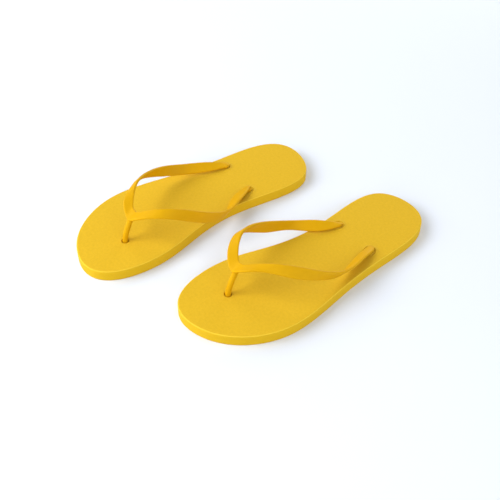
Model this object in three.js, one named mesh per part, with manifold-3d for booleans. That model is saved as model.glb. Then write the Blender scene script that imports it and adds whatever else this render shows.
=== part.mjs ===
// A pair of foam flip flops, toes along +Y, soles standing on z = 0. Millimetres.
// The left shoe is drawn once, heel at y = 0, and the right shoe is its mirror image.
// Each sole is one foam slab, cut here at the ball of the foot, where it bends.
// Each strap is one moulding: a ribbon, a toe post, two stems and three retaining discs.

import * as THREE from 'three';
import { mergeVertices } from 'three/addons/utils/BufferGeometryUtils.js';
import { ParametricGeometry } from 'three/addons/geometries/ParametricGeometry.js';
import Module from 'manifold-3d';

const wasm = await Module();
wasm.setup();

// Where the two shoes stand
const SOLE_LENGTH = 270;
const SIDE_OFFSET = 67.7;
const STAGGER = 20.9;
const TOE_IN = THREE.MathUtils.degToRad(3.55);

// Sole slab
const SOLE_THICKNESS = 12;
const SOLE_EDGE_RADIUS = 1;
const SOLE_GUIDES = [
  [-6, -7.5], [51, 10], [41.5, 66.5], [31, 112.5], [34.5, 156], [46.5, 201.5], [38, 254],
  [10, 277.5], [-38.5, 257], [-63, 205], [-55.5, 159.5], [-43, 116.5], [-36, 73.5], [-31, 21],
];
const OUTLINE_STEPS = 84;
const BEND_LINE = 188;
const BEND_GAP = 0.4;
const CUTTER_HEIGHT = 50;
const CUT_THROUGH = 1;

// Strap ribbon, from the outer side of the foot over the toe post to the inner side.
// The front edge becomes the lower edge where the ribbon turns on its side.
const STRAP_THICKNESS = 2.6;
const STRAP_FRONT_EDGE = [
  [-16.8, 73.2, 14], [-23.3, 98, 14.5], [-37.5, 124.4, 15.5], [-37.2, 150.7, 27.5], [-37.1, 175.5, 41],
  [-20.7, 193.5, 47.5], [-9.7, 212.8, 49.8], [1, 215.6, 40], [4.7, 217.6, 37.5], [11.4, 216.5, 39.7],
  [20.8, 213.6, 47.6], [36.9, 195.9, 49.7], [41.1, 177.4, 38.7], [43.2, 153.7, 21.7],
  [46, 128.7, 13.8], [21.3, 105.8, 14.2], [19.2, 77.2, 14],
];
const STRAP_BACK_EDGE = [
  [-24.4, 72.7, 13.7], [-33, 94.8, 21.5], [-42.3, 119, 24.3], [-41.6, 142.1, 35.9],
  [-30.1, 166.6, 48.1], [-20.5, 186.6, 55.3], [-7.6, 199.3, 49.4], [0.9, 207.1, 44.1],
  [4.4, 206.3, 44.2], [8.1, 208.1, 42.3], [19, 201.4, 50.5], [31.9, 188.5, 55.1], [39.3, 168.8, 47.3],
  [45.2, 147.1, 33.7], [45.8, 122.8, 21.6], [35, 99.7, 20.2], [24.6, 80.5, 13.7],
];
const STRAP_STEPS = 80;
const STEP_CROWDING = 0.6;
const SECTION_STEPS = 12;
const SECTION_SQUARENESS = 3.2;
const TONGUE_ROUNDING = 0.012;
const SLOPE_STEP = 0.005;

// Toe post, stems and the discs that hold them under the sole
const POST_RADIUS = 2.8;
const POST_AXIS = [[4.2, 222, 3], [4.2, 222, 9], [4.2, 222, 15], [4.6, 217.8, 27], [4.9, 211.2, 39.6]];
const STEM_RADIUS = 3;
const STEM_PLACES = [[-21.7, 77.2], [23.4, 81.5]];
const STEM_TOP = 13.9;
const DISC_RADIUS = 8;
const DISC_BOTTOM = 0.8;
const DISC_TOP = 3.4;
const FIT_GAP = 0.35;
const ROUND_STEPS = 14;

const soleMaterial = new THREE.MeshStandardMaterial({ color: 0xecbf35, roughness: 0.85, metalness: 0 });
const strapMaterial = new THREE.MeshStandardMaterial({ color: 0xe2a81a, roughness: 0.45, metalness: 0 });

// A uniform cubic B-spline pulled towards its guide points. An open one starts and ends on them.
class GuidedCurve extends THREE.Curve {
  constructor(guides, closed = false) {
    super();
    const points = guides.map(([x, y, z = 0]) => new THREE.Vector3(x, y, z));
    const beyond = (end, inner) => end.clone().multiplyScalar(2).sub(inner);
    const first = closed ? points.at(-1) : beyond(points[0], points[1]);
    const after = closed ? points.slice(0, 2) : [beyond(points.at(-1), points.at(-2))];
    this.spans = closed ? points.length : points.length - 1;
    this.guides = [first, ...points, ...after];
  }

  getPoint(t, target = new THREE.Vector3()) {
    const along = t * this.spans;
    const span = Math.min(Math.floor(along), this.spans - 1);
    const f = along - span;
    const weights = [(1 - f) ** 3, 3 * f ** 3 - 6 * f ** 2 + 4, -3 * f ** 3 + 3 * f ** 2 + 3 * f + 1, f ** 3];
    target.set(0, 0, 0);
    weights.forEach((weight, k) => target.addScaledVector(this.guides[span + k], weight / 6));
    return target;
  }
}

// A closed geometry as a solid that can be joined and cut.
function toSolid(geometry) {
  const bare = geometry.clone();
  bare.deleteAttribute('normal');
  bare.deleteAttribute('uv');
  const merged = mergeVertices(bare, 1e-4);
  const corners = Array.from(merged.index.array);
  const kept = [];
  for (let i = 0; i < corners.length; i += 3) {
    const [a, b, c] = corners.slice(i, i + 3);
    if (a !== b && b !== c && c !== a) {
      kept.push(a, b, c);
    }
  }
  const vertProperties = new Float32Array(merged.attributes.position.array);
  return new wasm.Manifold(new wasm.Mesh({ numProp: 3, vertProperties, triVerts: new Uint32Array(kept) }));
}

function toMesh(name, solid, material) {
  const { vertProperties, triVerts } = solid.getMesh();
  const geometry = new THREE.BufferGeometry();
  geometry.setAttribute('position', new THREE.BufferAttribute(new Float32Array(vertProperties), 3));
  geometry.setIndex(new THREE.BufferAttribute(new Uint32Array(triVerts), 1));
  geometry.computeVertexNormals();
  const mesh = new THREE.Mesh(geometry, material);
  mesh.name = name;
  return mesh;
}

function uprightCylinder(radius, bottom, top, [x, y]) {
  const geometry = new THREE.CylinderGeometry(radius, radius, top - bottom, ROUND_STEPS);
  geometry.rotateX(Math.PI / 2);
  geometry.translate(x, y, (bottom + top) / 2);
  return toSolid(geometry);
}

function block(fromY, toY) {
  const geometry = new THREE.BoxGeometry(SOLE_LENGTH, toY - fromY, CUTTER_HEIGHT);
  geometry.translate(0, (fromY + toY) / 2, 0);
  return toSolid(geometry);
}

// The whole slab with rounded edges, three holes and three recesses for the discs.
function soleSlab() {
  const rim = new GuidedCurve(SOLE_GUIDES, true).getPoints(OUTLINE_STEPS).slice(0, -1);
  const outline = new THREE.Shape(rim.map(({ x, y }) => new THREE.Vector2(x, y)));
  const geometry = new THREE.ExtrudeGeometry(outline, {
    depth: SOLE_THICKNESS - 2 * SOLE_EDGE_RADIUS,
    bevelThickness: SOLE_EDGE_RADIUS,
    bevelSize: SOLE_EDGE_RADIUS,
    bevelOffset: -SOLE_EDGE_RADIUS,
    bevelSegments: 2,
  });
  geometry.translate(0, 0, SOLE_EDGE_RADIUS);
  let slab = toSolid(geometry);
  const holes = [
    { place: POST_AXIS[0], radius: POST_RADIUS },
    ...STEM_PLACES.map((place) => ({ place, radius: STEM_RADIUS })),
  ];
  for (const { place, radius } of holes) {
    slab = slab.subtract(uprightCylinder(radius + FIT_GAP, -CUT_THROUGH, SOLE_THICKNESS + CUT_THROUGH, place));
    slab = slab.subtract(uprightCylinder(DISC_RADIUS + FIT_GAP, -CUT_THROUGH, DISC_TOP + FIT_GAP, place));
  }
  return slab;
}

// The ribbon is ruled from its front edge to its back edge. Its section is a squared-off
// ellipse, and a quarter circle of the edge distance draws each end in to a round tongue.
// The steps crowd together at both ends and at the toe post, where it turns sharply.
function ribbon() {
  const front = new GuidedCurve(STRAP_FRONT_EDGE);
  const back = new GuidedCurve(STRAP_BACK_EDGE);
  const squared = (value) => Math.sign(value) * Math.abs(value) ** (2 / SECTION_SQUARENESS);
  const middleOf = (v) => front.getPoint(v).add(back.getPoint(v)).multiplyScalar(0.5);
  const surface = (u, step, target) => {
    const v = step - (STEP_CROWDING * Math.sin(4 * Math.PI * step)) / (4 * Math.PI);
    const middle = middleOf(v);
    const across = back.getPoint(v).sub(front.getPoint(v)).multiplyScalar(0.5);
    const along = middleOf(Math.min(v + SLOPE_STEP, 1)).sub(middleOf(Math.max(v - SLOPE_STEP, 0)));
    const outward = new THREE.Vector3().crossVectors(along, across).normalize();
    const inset = Math.min(v, 1 - v, TONGUE_ROUNDING) / TONGUE_ROUNDING;
    const taper = Math.sqrt(Math.max(0, 1 - (1 - inset) ** 2));
    const angle = 2 * Math.PI * u;
    target.copy(middle);
    target.addScaledVector(across, taper * squared(Math.cos(angle)));
    target.addScaledVector(outward, taper * squared(Math.sin(angle)) * (STRAP_THICKNESS / 2));
  };
  return toSolid(new ParametricGeometry(surface, SECTION_STEPS, STRAP_STEPS));
}

// A round rod that rises from its disc and ends in a dome inside the ribbon.
function toePost() {
  const section = new THREE.Shape();
  section.absarc(0, 0, POST_RADIUS, 0, 2 * Math.PI);
  const axis = new GuidedCurve(POST_AXIS);
  const options = { extrudePath: axis, steps: 8, curveSegments: ROUND_STEPS, bevelEnabled: false };
  const head = new THREE.SphereGeometry(POST_RADIUS, ROUND_STEPS, ROUND_STEPS / 2);
  head.translate(...POST_AXIS.at(-1));
  return toSolid(new THREE.ExtrudeGeometry(section, options)).add(toSolid(head));
}

// Ribbon, post, stems and discs are moulded in one.
function strapMoulding() {
  let moulding = ribbon().add(toePost());
  moulding = moulding.add(uprightCylinder(DISC_RADIUS, DISC_BOTTOM, DISC_TOP, POST_AXIS[0]));
  for (const place of STEM_PLACES) {
    moulding = moulding.add(uprightCylinder(STEM_RADIUS, DISC_BOTTOM, STEM_TOP, place));
    moulding = moulding.add(uprightCylinder(DISC_RADIUS, DISC_BOTTOM, DISC_TOP, place));
  }
  return moulding;
}

function shoe(side, slab, moulding) {
  const halfGap = BEND_GAP / 2;
  const forefoot = slab.intersect(block(BEND_LINE + halfGap, 2 * SOLE_LENGTH));
  const heel = slab.intersect(block(-SOLE_LENGTH, BEND_LINE - halfGap));
  const parts = new THREE.Group();
  parts.add(
    toMesh(`${side}_sole_forefoot`, forefoot, soleMaterial),
    toMesh(`${side}_sole_heel`, heel, soleMaterial),
    toMesh(`${side}_strap`, moulding, strapMaterial),
  );
  parts.position.y = -SOLE_LENGTH / 2;
  const placed = new THREE.Group();
  placed.add(parts);
  return placed;
}

const slab = soleSlab();
const moulding = strapMoulding();

const left = shoe('left', slab, moulding);
left.position.set(-SIDE_OFFSET, -STAGGER, 0);
left.rotation.z = -TOE_IN;

const right = shoe('right', slab, moulding);
right.position.set(SIDE_OFFSET, STAGGER, 0);
right.rotation.z = TOE_IN;
right.scale.x = -1;

const pair = new THREE.Group();
pair.add(left, right);

export default pair;
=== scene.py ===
# A pair of foam flip flops with one-piece moulded straps, standing side by side.
# Lengths below are millimetres of the left shoe, drawn with its heel at y = 0 and toes along +y.

import math

import bmesh
import bpy
import numpy as np
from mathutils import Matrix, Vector


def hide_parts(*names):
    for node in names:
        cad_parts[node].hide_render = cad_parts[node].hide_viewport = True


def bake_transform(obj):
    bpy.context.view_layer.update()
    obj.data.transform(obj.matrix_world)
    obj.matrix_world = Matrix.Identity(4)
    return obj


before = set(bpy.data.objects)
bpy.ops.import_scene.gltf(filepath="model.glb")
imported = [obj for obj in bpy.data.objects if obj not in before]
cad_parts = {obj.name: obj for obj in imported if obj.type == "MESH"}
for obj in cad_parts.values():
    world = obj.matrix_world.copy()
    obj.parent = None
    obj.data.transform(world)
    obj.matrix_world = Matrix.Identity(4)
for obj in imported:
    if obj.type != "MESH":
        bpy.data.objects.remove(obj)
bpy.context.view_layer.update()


# ---- Soles ---------------------------------------------------------------------------------
# A sole is one slab of closed-cell foam rubber, die-cut from sheet, with its rims rounded over.
# Three holes are punched through it for the strap, each with a round recess underneath, and
# the strap's pull has drawn the foam up into a lip around the ends of its two arms.
# SOLE_GUIDES came out of a least-squares fitting program. They were not worked out from
# dimensions. The wavy grooves below are a guess at a tread.

SOLE_LENGTH = 270.0
SOLE_THICKNESS = 12.0
SIDE_OFFSET = 67.7
STAGGER = 20.9
TOE_IN = math.radians(3.55)
SOLE_GUIDES = [
    (-6, -7.5), (51, 10), (41.5, 66.5), (31, 112.5), (34.5, 156), (46.5, 201.5), (38, 254),
    (10, 277.5), (-38.5, 257), (-63, 205), (-55.5, 159.5), (-43, 116.5), (-36, 73.5), (-31, 21),
]
RIM_COLUMNS = 560
TOP_RIM_RADIUS = 1.3
BOTTOM_RIM_RADIUS = 0.7
RIM_STEPS = 6
WALL_STEPS = 5
TOP_ROWS = 62
BOTTOM_ROWS = 44
SPINE_SCALE = 0.74

POST_PLACE = (4.2, 222.0)
POST_HOLE_RADIUS = 3.15
POST_HOLE_FLARE = 4.1
ARM_PLACES = [(-21.7, 77.2), (23.4, 81.5)]
ARM_DIRECTIONS = [(-0.30, 0.95), (0.28, 0.96)]
STEM_HOLE_RADIUS = 3.35
RECESS_RADIUS = 8.35
RECESS_DEPTH = 3.75
FLARE_DEPTH = 2.2
FLARE_MIDDLE_RISE = 1.2
FLARE_MIDDLE_SHARE = 0.25
CUT_BELOW = 2
CUT_ABOVE = 4
SHARP_ANGLE = math.radians(50)

LIP_HEIGHT = 0.9
LIP_DISTANCE = 5.9
LIP_SPREAD = 1.0
SLOT_DEPTH = 1.0
SLOT_DISTANCE = 4.5
SLOT_SPREAD = 0.55
ARM_STRETCH = 4.0
LIP_FADE_FROM = -1.0
LIP_FADE_TO = 7.0

TREAD_PITCH = 7.0
TREAD_DEPTH = 0.7
TREAD_WAVE = 2.2
TREAD_WAVE_LENGTH = 18
TREAD_MARGIN = 7.0
TREAD_MARGIN_FADE = 1.5
RECESS_MARGIN = 2
GROOVE_FROM = 0.25
GROOVE_FULL = 0.85


def guided_curve(guides, closed, along):
    """A uniform cubic B-spline at parameters from 0 to 1: each point is the mean of four
    guide points in a row, weighted by cubics. An open one starts and ends on its guides."""
    guides = np.array(guides, float)
    if closed:
        padded = np.vstack([guides[-1], guides, guides[:2]])
        spans = len(guides)
    else:
        padded = np.vstack([2 * guides[0] - guides[1], guides, 2 * guides[-1] - guides[-2]])
        spans = len(guides) - 1
    position = np.asarray(along, float) * spans
    span = np.clip(np.floor(position).astype(int), 0, spans - 1)
    f = (position - span)[:, None]
    weights = [(1 - f) ** 3, 3 * f**3 - 6 * f**2 + 4, -3 * f**3 + 3 * f**2 + 3 * f + 1, f**3]
    return sum(weight * padded[span + k] for k, weight in enumerate(weights)) / 6


def smooth_step(low, high, value):
    """0 below low, 1 above high and 3t^2 - 2t^3 between."""
    t = np.clip((value - low) / (high - low), 0, 1)
    return t * t * (3 - 2 * t)


def standing(points, side):
    """Left shoe millimetres to metres where that side's shoe stands: turned by the toe-in
    about the middle of the sole, moved sideways and back, and mirrored for the right shoe."""
    x, y, z = np.moveaxis(np.asarray(points, float), -1, 0)
    y = y - SOLE_LENGTH / 2
    mirror = 1 if side == "left" else -1
    placed_x = mirror * (math.cos(TOE_IN) * x + math.sin(TOE_IN) * y - SIDE_OFFSET)
    placed_y = math.cos(TOE_IN) * y - math.sin(TOE_IN) * x - mirror * STAGGER
    return np.stack([placed_x, placed_y, z], -1) / 1000


def grid_object(name, grids, side):
    """One mesh from grids of rows x columns x 3 whose columns close on themselves. Rows that
    shrink to a point or fold on a line are welded, and the faces are turned outwards."""
    corners = []
    faces = []
    count = 0
    for grid in grids:
        rows, columns, _ = grid.shape
        number = count + np.arange(rows * columns).reshape(rows, columns)
        beside = np.roll(number, -1, axis=1)
        quads = np.stack([number[:-1], beside[:-1], beside[1:], number[1:]], -1)
        corners.append(grid.reshape(-1, 3))
        faces.append(quads.reshape(-1, 4))
        count += rows * columns
    mesh = bpy.data.meshes.new(name)
    mesh.from_pydata(standing(np.vstack(corners), side).tolist(), [], np.vstack(faces).tolist())
    shell = bmesh.new()
    shell.from_mesh(mesh)
    bmesh.ops.remove_doubles(shell, verts=shell.verts, dist=1e-6)
    bmesh.ops.recalc_face_normals(shell, faces=shell.faces)
    shell.to_mesh(mesh)
    shell.free()
    piece = bpy.data.objects.new(name, mesh)
    bpy.context.scene.collection.objects.link(piece)
    return piece


def combine(piece, other, operation):
    """Joins other to piece or cuts it away, keeps the result in piece's mesh and drops other."""
    modifier = piece.modifiers.new(operation.lower(), "BOOLEAN")
    modifier.operation = operation
    modifier.solver = "EXACT"
    modifier.object = other
    bpy.context.view_layer.update()
    evaluated = piece.evaluated_get(bpy.context.evaluated_depsgraph_get())
    result = bpy.data.meshes.new_from_object(evaluated)
    piece.modifiers.clear()
    piece.data = result
    bpy.data.objects.remove(other)


def turned_grid(profile, place, columns=40):
    """A round solid: the (radius, height) profile carried round an upright axis at place."""
    radius, height = np.array(profile, float).T
    turn = np.linspace(0, 2 * np.pi, columns, endpoint=False)
    x = place[0] + radius[:, None] * np.cos(turn)
    y = place[1] + radius[:, None] * np.sin(turn)
    return np.stack([x, y, np.broadcast_to(height[:, None], x.shape)], -1)


def arm_distance(x, y, place, direction):
    """Distance from the short line in which an arm of the strap ends, and how far along it."""
    along = (x - place[0]) * direction[0] + (y - place[1]) * direction[1]
    nearest = np.clip(along, 0, ARM_STRETCH)
    across_x = x - place[0] - nearest * direction[0]
    across_y = y - place[1] - nearest * direction[1]
    return np.hypot(across_x, across_y), along


def footbed_relief(x, y):
    """Height over the flat footbed: round each arm's end a bell-shaped lip outside a
    bell-shaped slot, both fading out along the arm."""
    relief = np.zeros_like(x)
    for place, direction in zip(ARM_PLACES, ARM_DIRECTIONS):
        distance, along = arm_distance(x, y, place, direction)
        fade = 1 - smooth_step(LIP_FADE_FROM, LIP_FADE_TO, along)
        lip = LIP_HEIGHT * np.exp(-(((distance - LIP_DISTANCE) / LIP_SPREAD) ** 2))
        slot = SLOT_DEPTH * np.exp(-(((distance - SLOT_DISTANCE) / SLOT_SPREAD) ** 2))
        relief += fade * (lip - slot)
    return relief


def tread_relief(x, y, margin):
    """Depth of wavy cross grooves: a flattened cosine of y, shifted by a sine of x, that
    stops short of the rim and of the three recesses."""
    shift = TREAD_WAVE * np.sin(2 * np.pi * x / TREAD_WAVE_LENGTH)
    phase = 2 * np.pi * (y + shift) / TREAD_PITCH
    groove = smooth_step(GROOVE_FROM, GROOVE_FULL, np.cos(phase))
    keep = smooth_step(TREAD_MARGIN, TREAD_MARGIN + TREAD_MARGIN_FADE, margin)
    clear = RECESS_RADIUS + RECESS_MARGIN
    for place in [POST_PLACE, *ARM_PLACES]:
        distance = np.hypot(x - place[0], y - place[1])
        keep *= smooth_step(clear, clear + TREAD_MARGIN_FADE, distance)
    return TREAD_DEPTH * groove * keep


def sole_grid():
    """Rows run from a spine on the footbed out to the rim, down the wall and back to the same
    spine below. The spine is the outline's midline, shrunk towards the middle of the sole."""
    dense = guided_curve(SOLE_GUIDES, True, np.linspace(0, 1, 4001))[:-1]
    start = dense[:, 1].argmin()
    dense = np.roll(dense, -start, axis=0)
    toe = dense[:, 1].argmax()
    half = RIM_COLUMNS // 2

    def evenly(chain):
        lengths = np.concatenate([[0], np.cumsum(np.linalg.norm(np.diff(chain, axis=0), axis=1))])
        wanted = np.linspace(0, lengths[-1], half + 1)
        return np.stack([np.interp(wanted, lengths, chain[:, k]) for k in range(2)], -1)

    right_side = evenly(dense[: toe + 1])
    left_side = evenly(np.vstack([dense[toe:], dense[:1]]))[::-1]
    outline = np.vstack([right_side, left_side[::-1][1:-1]])
    midline = (right_side + left_side) / 2
    middle = midline.mean(axis=0)
    spine = middle + SPINE_SCALE * (midline - middle)
    spine = np.vstack([spine, spine[::-1][1:-1]])
    tangent = np.roll(outline, -1, axis=0) - np.roll(outline, 1, axis=0)
    outward = np.stack([tangent[:, 1], -tangent[:, 0]], -1)
    outward /= np.linalg.norm(outward, axis=1, keepdims=True)

    def ring(inset, height):
        at = outline - inset * outward
        return np.concatenate([at, np.full((len(at), 1), height)], axis=1)

    def rim(radius, edge, side_way):
        turn = np.linspace(0, np.pi / 2, RIM_STEPS)
        insets = [radius * (1 - math.sin(angle)) for angle in turn]
        heights = [edge + side_way * radius * (1 - math.cos(angle)) for angle in turn]
        return [ring(inset, height) for inset, height in zip(insets, heights)]

    def plate(rows, radius, height):
        core = np.concatenate([spine, np.full((len(spine), 1), height)], axis=1)
        share = np.linspace(0, 1, rows, endpoint=False)[:, None, None]
        return core + share * (ring(radius, height) - core)

    top = plate(TOP_ROWS, TOP_RIM_RADIUS, SOLE_THICKNESS)
    top[..., 2] += footbed_relief(top[..., 0], top[..., 1])
    top_rim = rim(TOP_RIM_RADIUS, SOLE_THICKNESS, -1)
    wall_heights = np.linspace(SOLE_THICKNESS - TOP_RIM_RADIUS, BOTTOM_RIM_RADIUS, WALL_STEPS)
    wall = [ring(0, height) for height in wall_heights]
    bottom_rim = rim(BOTTOM_RIM_RADIUS, 0, 1)[::-1]
    bottom = plate(BOTTOM_ROWS, BOTTOM_RIM_RADIUS, 0)[::-1]
    rim_gap = bottom - ring(0, 0)
    margin = np.hypot(rim_gap[..., 0], rim_gap[..., 1])
    bottom[..., 2] += tread_relief(bottom[..., 0], bottom[..., 1], margin)
    return np.concatenate([top, top_rim, wall[1:-1], bottom_rim, bottom])


def hole_profile(radius, mouth):
    """Punched hole and recess in one: bottom centre, recess, shaft and a flared mouth."""
    under = -CUT_BELOW
    over = SOLE_THICKNESS + CUT_ABOVE
    flare_from = SOLE_THICKNESS - FLARE_DEPTH
    flare_middle = (radius + FLARE_MIDDLE_SHARE * (mouth - radius), flare_from + FLARE_MIDDLE_RISE)
    return [
        (0, under), (RECESS_RADIUS, under), (RECESS_RADIUS, RECESS_DEPTH), (radius, RECESS_DEPTH),
        (radius, flare_from), flare_middle, (mouth, SOLE_THICKNESS), (mouth, over), (0, over),
    ]


class Term:
    """A socket in shader maths: an operator on it adds the Math node that works it out."""

    def __init__(self, finish, socket):
        self.finish = finish
        self.socket = socket

    def maths(self, operation, first, second):
        return self.finish.node("ShaderNodeMath", {"operation": operation}, {0: first, 1: second})

    def __add__(self, other):
        return self.maths("ADD", self, other)

    def __sub__(self, other):
        return self.maths("SUBTRACT", self, other)

    def __rsub__(self, other):
        return self.maths("SUBTRACT", other, self)

    def __mul__(self, other):
        return self.maths("MULTIPLY", self, other)

    __radd__ = __add__
    __rmul__ = __mul__


class Finish:
    """A material with a Principled shader, whose constants are set on the shader's sockets."""

    def __init__(self, name, constants):
        self.material = bpy.data.materials.new(name)
        self.material.use_nodes = True
        self.tree = self.material.node_tree
        self.shader = self.tree.nodes["Principled BSDF"]
        for socket, value in constants.items():
            self.shader.inputs[socket].default_value = value
        self.place = self.node("ShaderNodeTexCoord", {}, {}, "Object")

    def feed(self, socket, value):
        if isinstance(value, Term):
            self.tree.links.new(value.socket, socket)
        else:
            socket.default_value = value

    def node(self, kind, settings, inputs, output=0):
        """Adds a node, applies its settings, feeds its sockets and gives one output."""
        node = self.tree.nodes.new(kind)
        for name, value in settings.items():
            setattr(node, name, value)
        for name, value in inputs.items():
            self.feed(node.inputs[name], value)
        return Term(self, node.outputs[output])

    def noise(self, size_mm, detail=2.0, roughness=0.5):
        """Noise from 0 to 1 whose blotches are about size_mm across."""
        scale = 1000 / size_mm
        inputs = {"Vector": self.place, "Scale": scale, "Detail": detail, "Roughness": roughness}
        return self.node("ShaderNodeTexNoise", {}, inputs)

    def ramp(self, value, low, high, to_low=0.0, to_high=1.0):
        """Value between low and high, smoothly rescaled to between to_low and to_high."""
        inputs = {"Value": value, "From Min": low, "From Max": high, "To Min": to_low, "To Max": to_high}
        return self.node("ShaderNodeMapRange", {"interpolation_type": "SMOOTHSTEP"}, inputs)

    def blended(self, factor, first, second):
        """Colour between first and second."""
        inputs = {"Factor": factor, 6: first, 7: second}
        return self.node("ShaderNodeMix", {"data_type": "RGBA"}, inputs, 2)

    def bumped(self, height, distance_mm, strength):
        """Normal bent by a height of distance_mm from 0 to 1."""
        inputs = {"Height": height, "Distance": distance_mm / 1000, "Strength": strength}
        return self.node("ShaderNodeBump", {}, inputs)

    def drive(self, **sockets):
        """Feeds the shader's sockets, with underscores in their names for blanks."""
        for name, value in sockets.items():
            self.feed(self.shader.inputs[name.replace("_", " ")], value)


# Foam rubber: a dull skin with a fine grain on the footbed, tiny cut cells on the wall with
# painted shade in their hollows, and a painted highlight, a paler line round the top rim. It
# reads the height that each vertex has at rest, so that the wall stays the wall when the sole bends.
foam = Finish("yellow_foam", {"Specular IOR Level": 0.2})
height_mm = foam.node("ShaderNodeAttribute", {"attribute_name": "rest_height_mm"}, {}, "Fac")
above_wall = foam.ramp(height_mm, SOLE_THICKNESS - 0.9, SOLE_THICKNESS - 0.4)
below_footbed = 1 - foam.ramp(height_mm, SOLE_THICKNESS - 0.15, SOLE_THICKNESS - 0.03)
on_skin = foam.ramp(height_mm, SOLE_THICKNESS - 1.5, SOLE_THICKNESS - 1.0)
# The band on the rounded top rim that takes a painted highlight.
rim_highlight_band = above_wall * below_footbed
GRAIN_SIZE = 0.9
MOTTLE_SIZE = 2.4
grain = foam.noise(GRAIN_SIZE, 3.0, 0.6)
mottling = foam.noise(MOTTLE_SIZE, 4.0, 0.65)
CELL_SIZE = 0.8
cell_inputs = {"Vector": foam.place, "Scale": 1000 / CELL_SIZE}
cells = foam.node("ShaderNodeTexVoronoi", {"feature": "F1"}, cell_inputs, "Distance")
pits = 1 - foam.ramp(cells, 0.05, 0.32)
SKIN_DARK = (0.605, 0.370, 0.010, 1)
SKIN_PALE = (0.655, 0.403, 0.013, 1)
WALL_FACE = (0.650, 0.398, 0.005, 1)
# WALL_PIT_SHADE is painted shade: the hollows of the cut cells are coloured darker than the wall face.
WALL_PIT_SHADE = (0.560, 0.325, 0.003, 1)
# RIM_HIGHLIGHT is a painted highlight: a paler colour laid on the top rim.
RIM_HIGHLIGHT = (0.740, 0.500, 0.030, 1)
skin_colour = foam.blended(foam.ramp(mottling, 0.3, 0.7), SKIN_DARK, SKIN_PALE)
wall_colour = foam.blended(pits, WALL_FACE, WALL_PIT_SHADE)
upper_colour = foam.blended(rim_highlight_band, skin_colour, RIM_HIGHLIGHT)
foam.drive(
    Base_Color=foam.blended(on_skin, wall_colour, upper_colour),
    Roughness=foam.ramp(grain, 0.3, 0.7, 0.72, 0.9),
    Normal=foam.bumped(grain * 0.7 + pits * (1 - on_skin) * -0.8, 0.12, 0.5),
)

for side in ("left", "right"):
    sole = grid_object(f"{side}_foam_sole", [sole_grid()], side)
    holes = [(POST_PLACE, hole_profile(POST_HOLE_RADIUS, POST_HOLE_FLARE))]
    holes += [(place, hole_profile(STEM_HOLE_RADIUS, STEM_HOLE_RADIUS)) for place in ARM_PLACES]
    for place, profile in holes:
        combine(sole, grid_object("punch", [turned_grid(profile, place)], side), "DIFFERENCE")
    sole.data.shade_smooth()
    sole.data.set_sharp_from_angle(angle=SHARP_ANGLE)
    sole.data.materials.clear()
    sole.data.materials.append(foam.material)
    corners = np.empty(3 * len(sole.data.vertices))
    sole.data.vertices.foreach_get("co", corners)
    rest_height = sole.data.attributes.new("rest_height_mm", "FLOAT", "POINT")
    rest_height.data.foreach_set("value", 1000 * corners[2::3])
    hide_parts(f"{side}_sole_forefoot", f"{side}_sole_heel")
    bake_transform(sole)


# ---- Straps --------------------------------------------------------------------------------
# A strap is one moulding of soft PVC: a flat ribbon that lies over the instep and stands on
# its edge along the sides of the foot, a round toe post and a short stem at each rear end.
# The post and both stems go through the sole and end in discs that hold them from below.
# The two ribbon edges came out of a least-squares fitting program, and the post's axis was
# located by a program and then changed. None was worked out from dimensions.

STRAP_THICKNESS = 2.6
STRAP_FRONT_EDGE = [
    (-16.8, 73.2, 14), (-23.3, 98, 14.5), (-37.5, 124.4, 15.5), (-37.2, 150.7, 27.5),
    (-37.1, 175.5, 41), (-20.7, 193.5, 47.5), (-9.7, 212.8, 49.8), (1, 215.6, 40), (4.7, 217.6, 37.5),
    (11.4, 216.5, 39.7), (20.8, 213.6, 47.6), (36.9, 195.9, 49.7), (41.1, 177.4, 38.7),
    (43.2, 153.7, 21.7), (46, 128.7, 13.8), (21.3, 105.8, 14.2), (19.2, 77.2, 14),
]
STRAP_BACK_EDGE = [
    (-24.4, 72.7, 13.7), (-33, 94.8, 21.5), (-42.3, 119, 24.3), (-41.6, 142.1, 35.9),
    (-30.1, 166.6, 48.1), (-20.5, 186.6, 55.3), (-7.6, 199.3, 49.4), (0.9, 207.1, 44.1),
    (4.4, 206.3, 44.2), (8.1, 208.1, 42.3), (19, 201.4, 50.5), (31.9, 188.5, 55.1),
    (39.3, 168.8, 47.3), (45.2, 147.1, 33.7), (45.8, 122.8, 21.6), (35, 99.7, 20.2),
    (24.6, 80.5, 13.7),
]
STEP_CROWDING = 0.6
STRAP_ROWS = 420
FACE_STEPS = 14
EDGE_STEPS = 9
EDGE_ROUNDING = 1.1
TONGUE_LENGTH = 0.012

POST_RADIUS = 2.8
POST_AXIS = [(4.2, 222, 3), (4.2, 222, 9), (4.2, 222, 15), (4.6, 217.8, 27), (4.9, 211.2, 39.6)]
STEM_RADIUS = 3.0
STEM_TOP = 13.9
DISC_RADIUS = 8.0
DISC_BOTTOM = 0.8
DISC_TOP = 3.4
DISC_RIM = 0.6
DISC_FACET = 0.2
POST_FOOT_TOP = 6.0


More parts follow.
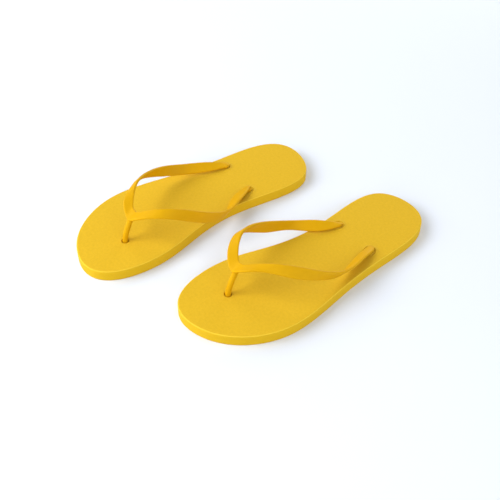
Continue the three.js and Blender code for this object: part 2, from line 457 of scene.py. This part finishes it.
def ribbon_grid():
    """The ribbon is ruled from its front edge to its back edge. Its section is two flat faces
    joined by half rounds, and a quarter ellipse of the way along draws each end to a tongue."""
    step = np.linspace(0, 1, STRAP_ROWS)
    along = step - STEP_CROWDING * np.sin(4 * np.pi * step) / (4 * np.pi)
    front = guided_curve(STRAP_FRONT_EDGE, False, along)
    back = guided_curve(STRAP_BACK_EDGE, False, along)
    middle = (front + back) / 2
    across = (back - front) / 2
    half_width = np.linalg.norm(across, axis=1, keepdims=True)
    across /= half_width
    forward = np.gradient(middle, axis=0)
    outward = np.cross(forward, across)
    outward /= np.linalg.norm(outward, axis=1, keepdims=True)
    inset = np.clip(np.minimum(along, 1 - along) / TONGUE_LENGTH, 0, 1)
    narrowing = np.sqrt(1 - (1 - inset) ** 2)[:, None]
    face = np.linspace(1, -1, FACE_STEPS)
    edge = np.linspace(np.pi / 2, 3 * np.pi / 2, EDGE_STEPS)[1:-1]
    core = np.concatenate([face, np.full(len(edge), -1.0), -face, np.full(len(edge), 1.0)])
    side_way = np.concatenate([0 * face, np.cos(edge), 0 * face, -np.cos(edge)])
    face_way = np.concatenate([0 * face + 1, np.sin(edge), 0 * face - 1, -np.sin(edge)])
    flat = half_width * narrowing - EDGE_ROUNDING * narrowing
    reach = flat * core + EDGE_ROUNDING * narrowing * side_way
    lift = STRAP_THICKNESS / 2 * np.sqrt(narrowing) * face_way
    return (
        middle[:, None, :]
        + reach[..., None] * across[:, None, :]
        + lift[..., None] * outward[:, None, :]
    )


def post_grid():
    """A circle carried along the post's axis, square to it. A flat end closes it inside the
    disc, and a dome of its own radius closes it inside the ribbon."""
    axis = guided_curve(POST_AXIS, False, np.linspace(0, 1, 40))
    forward = np.gradient(axis, axis=0)
    forward /= np.linalg.norm(forward, axis=1, keepdims=True)
    dome = np.linspace(0, np.pi / 2, 8)[1:, None]
    dome_axis = axis[-1] + POST_RADIUS * np.sin(dome) * forward[-1]
    radius = np.vstack([[[0.0]], np.full((len(axis), 1), POST_RADIUS), POST_RADIUS * np.cos(dome)])
    axis = np.vstack([axis[:1], axis, dome_axis])
    forward = np.vstack([forward[:1], forward, np.repeat(forward[-1:], len(dome), axis=0)])
    sideways = np.array([1.0, 0.0, 0.0]) - forward[:, :1] * forward
    sideways /= np.linalg.norm(sideways, axis=1, keepdims=True)
    upright = np.cross(forward, sideways)
    turn = np.linspace(0, 2 * np.pi, 32, endpoint=False)[None, :, None]
    circle = np.cos(turn) * sideways[:, None] + np.sin(turn) * upright[:, None]
    return axis[:, None] + radius[..., None] * circle


def disc_profile(stem_radius, stem_top):
    """Half section of a disc whose rims are rounded off in two facets, under a plain stem."""
    return [
        (0, DISC_BOTTOM),
        (DISC_RADIUS - DISC_RIM, DISC_BOTTOM),
        (DISC_RADIUS - DISC_FACET, DISC_BOTTOM + DISC_FACET),
        (DISC_RADIUS, DISC_BOTTOM + DISC_RIM),
        (DISC_RADIUS, DISC_TOP - DISC_RIM),
        (DISC_RADIUS - DISC_FACET, DISC_TOP - DISC_FACET),
        (DISC_RADIUS - DISC_RIM, DISC_TOP),
        (stem_radius, DISC_TOP),
        (stem_radius, stem_top),
        (0, stem_top),
    ]


# Soft PVC: a smooth, dull satin face with a faint haze and a very fine grit.
vinyl = Finish("yellow_vinyl", {"Specular IOR Level": 0.08})
HAZE_SIZE = 6.0
GRIT_SIZE = 0.35
haze = vinyl.noise(HAZE_SIZE, 2.0, 0.5)
grit = vinyl.noise(GRIT_SIZE, 2.0, 0.6)
VINYL_DARK = (0.610, 0.328, 0.002, 1)
VINYL_PALE = (0.625, 0.337, 0.002, 1)
vinyl.drive(
    Base_Color=vinyl.blended(vinyl.ramp(haze, 0.3, 0.7), VINYL_DARK, VINYL_PALE),
    Roughness=vinyl.ramp(haze, 0.3, 0.7, 0.5, 0.6),
    Normal=vinyl.bumped(grit, 0.03, 0.4),
)

for side in ("left", "right"):
    strap = grid_object(f"{side}_vinyl_strap", [ribbon_grid()], side)
    combine(strap, grid_object("post", [post_grid()], side), "UNION")
    post_disc = turned_grid(disc_profile(POST_RADIUS, POST_FOOT_TOP), POST_PLACE)
    combine(strap, grid_object("disc", [post_disc], side), "UNION")
    for place in ARM_PLACES:
        stem = turned_grid(disc_profile(STEM_RADIUS, STEM_TOP), place)
        combine(strap, grid_object("stem", [stem], side), "UNION")
    strap.data.shade_smooth()
    strap.data.set_sharp_from_angle(angle=SHARP_ANGLE)
    strap.data.materials.clear()
    strap.data.materials.append(vinyl.material)
    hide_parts(f"{side}_strap")
    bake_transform(strap)


# ---- Floor, light and camera -----------------------------------------------------------------
# A pale table, a dim white room and seven soft round lamps around the pair, the strongest high
# up on the toe side, and a camera that looks down over the toes. The table is slightly blue,
# which cancels the yellow light that the shoes throw on it. The camera's numbers were fitted.

FLOOR_SIZE = 8.0
floor_mesh = bpy.data.meshes.new("table")
floor_signs = ((-1, -1), (1, -1), (1, 1), (-1, 1))
floor_corners = [(x * FLOOR_SIZE / 2, y * FLOOR_SIZE / 2, 0) for x, y in floor_signs]
floor_mesh.from_pydata(floor_corners, [], [(0, 1, 2, 3)])
floor = bpy.data.objects.new("table", floor_mesh)
bpy.context.scene.collection.objects.link(floor)
FLOOR_COLOUR = (0.75, 0.80, 0.88, 1)
paper_constants = {"Base Color": FLOOR_COLOUR, "Roughness": 0.9, "Specular IOR Level": 0.2}
paper = Finish("pale_paper", paper_constants)
floor_mesh.materials.append(paper.material)

CAMERA_PLACE = Vector((-0.47757, 0.34403, 0.58225))
CAMERA_TARGET = Vector((-0.01452, 0.00922, 0.0))
camera_data = bpy.data.cameras.new("camera")
camera_data.sensor_width = 36
camera_data.lens = 59.435
camera_data.clip_end = 50
camera = bpy.data.objects.new("camera", camera_data)
camera.location = CAMERA_PLACE
camera.rotation_euler = (CAMERA_TARGET - CAMERA_PLACE).to_track_quat("-Z", "Y").to_euler()
bpy.context.scene.collection.objects.link(camera)
bpy.context.scene.camera = camera

LIGHT_DISTANCE = 1.5
LIGHT_SIZE = 1.0
LIGHTS = {
    "key_high": (68, 43, 15.5),
    "key_low": (55, 20, 9.0),
    "toe_side": (120, 20, 9.0),
    "front": (180, 43, 5.0),
    "right_side": (225, 14, 9.5),
    "rear_right": (300, 14, 12.5),
    "rear": (0, 40, 6.0),
}
for name, (azimuth, elevation, watts) in LIGHTS.items():
    light_data = bpy.data.lights.new(name, "AREA")
    light_data.shape = "DISK"
    light_data.size = LIGHT_SIZE
    light_data.energy = watts
    turn, rise = math.radians(azimuth), math.radians(elevation)
    towards = Vector((math.cos(rise) * math.cos(turn), math.cos(rise) * math.sin(turn), math.sin(rise)))
    light = bpy.data.objects.new(name, light_data)
    light.location = LIGHT_DISTANCE * towards
    light.rotation_euler = (-towards).to_track_quat("-Z", "Y").to_euler()
    bpy.context.scene.collection.objects.link(light)

ROOM_STRENGTH = 0.15
room = bpy.data.worlds.new("white_room")
room.use_nodes = True
background = room.node_tree.nodes["Background"]
background.inputs["Color"].default_value = (1, 1, 1, 1)
background.inputs["Strength"].default_value = ROOM_STRENGTH
bpy.context.scene.world = room
bpy.context.scene.view_settings.view_transform = "Standard"
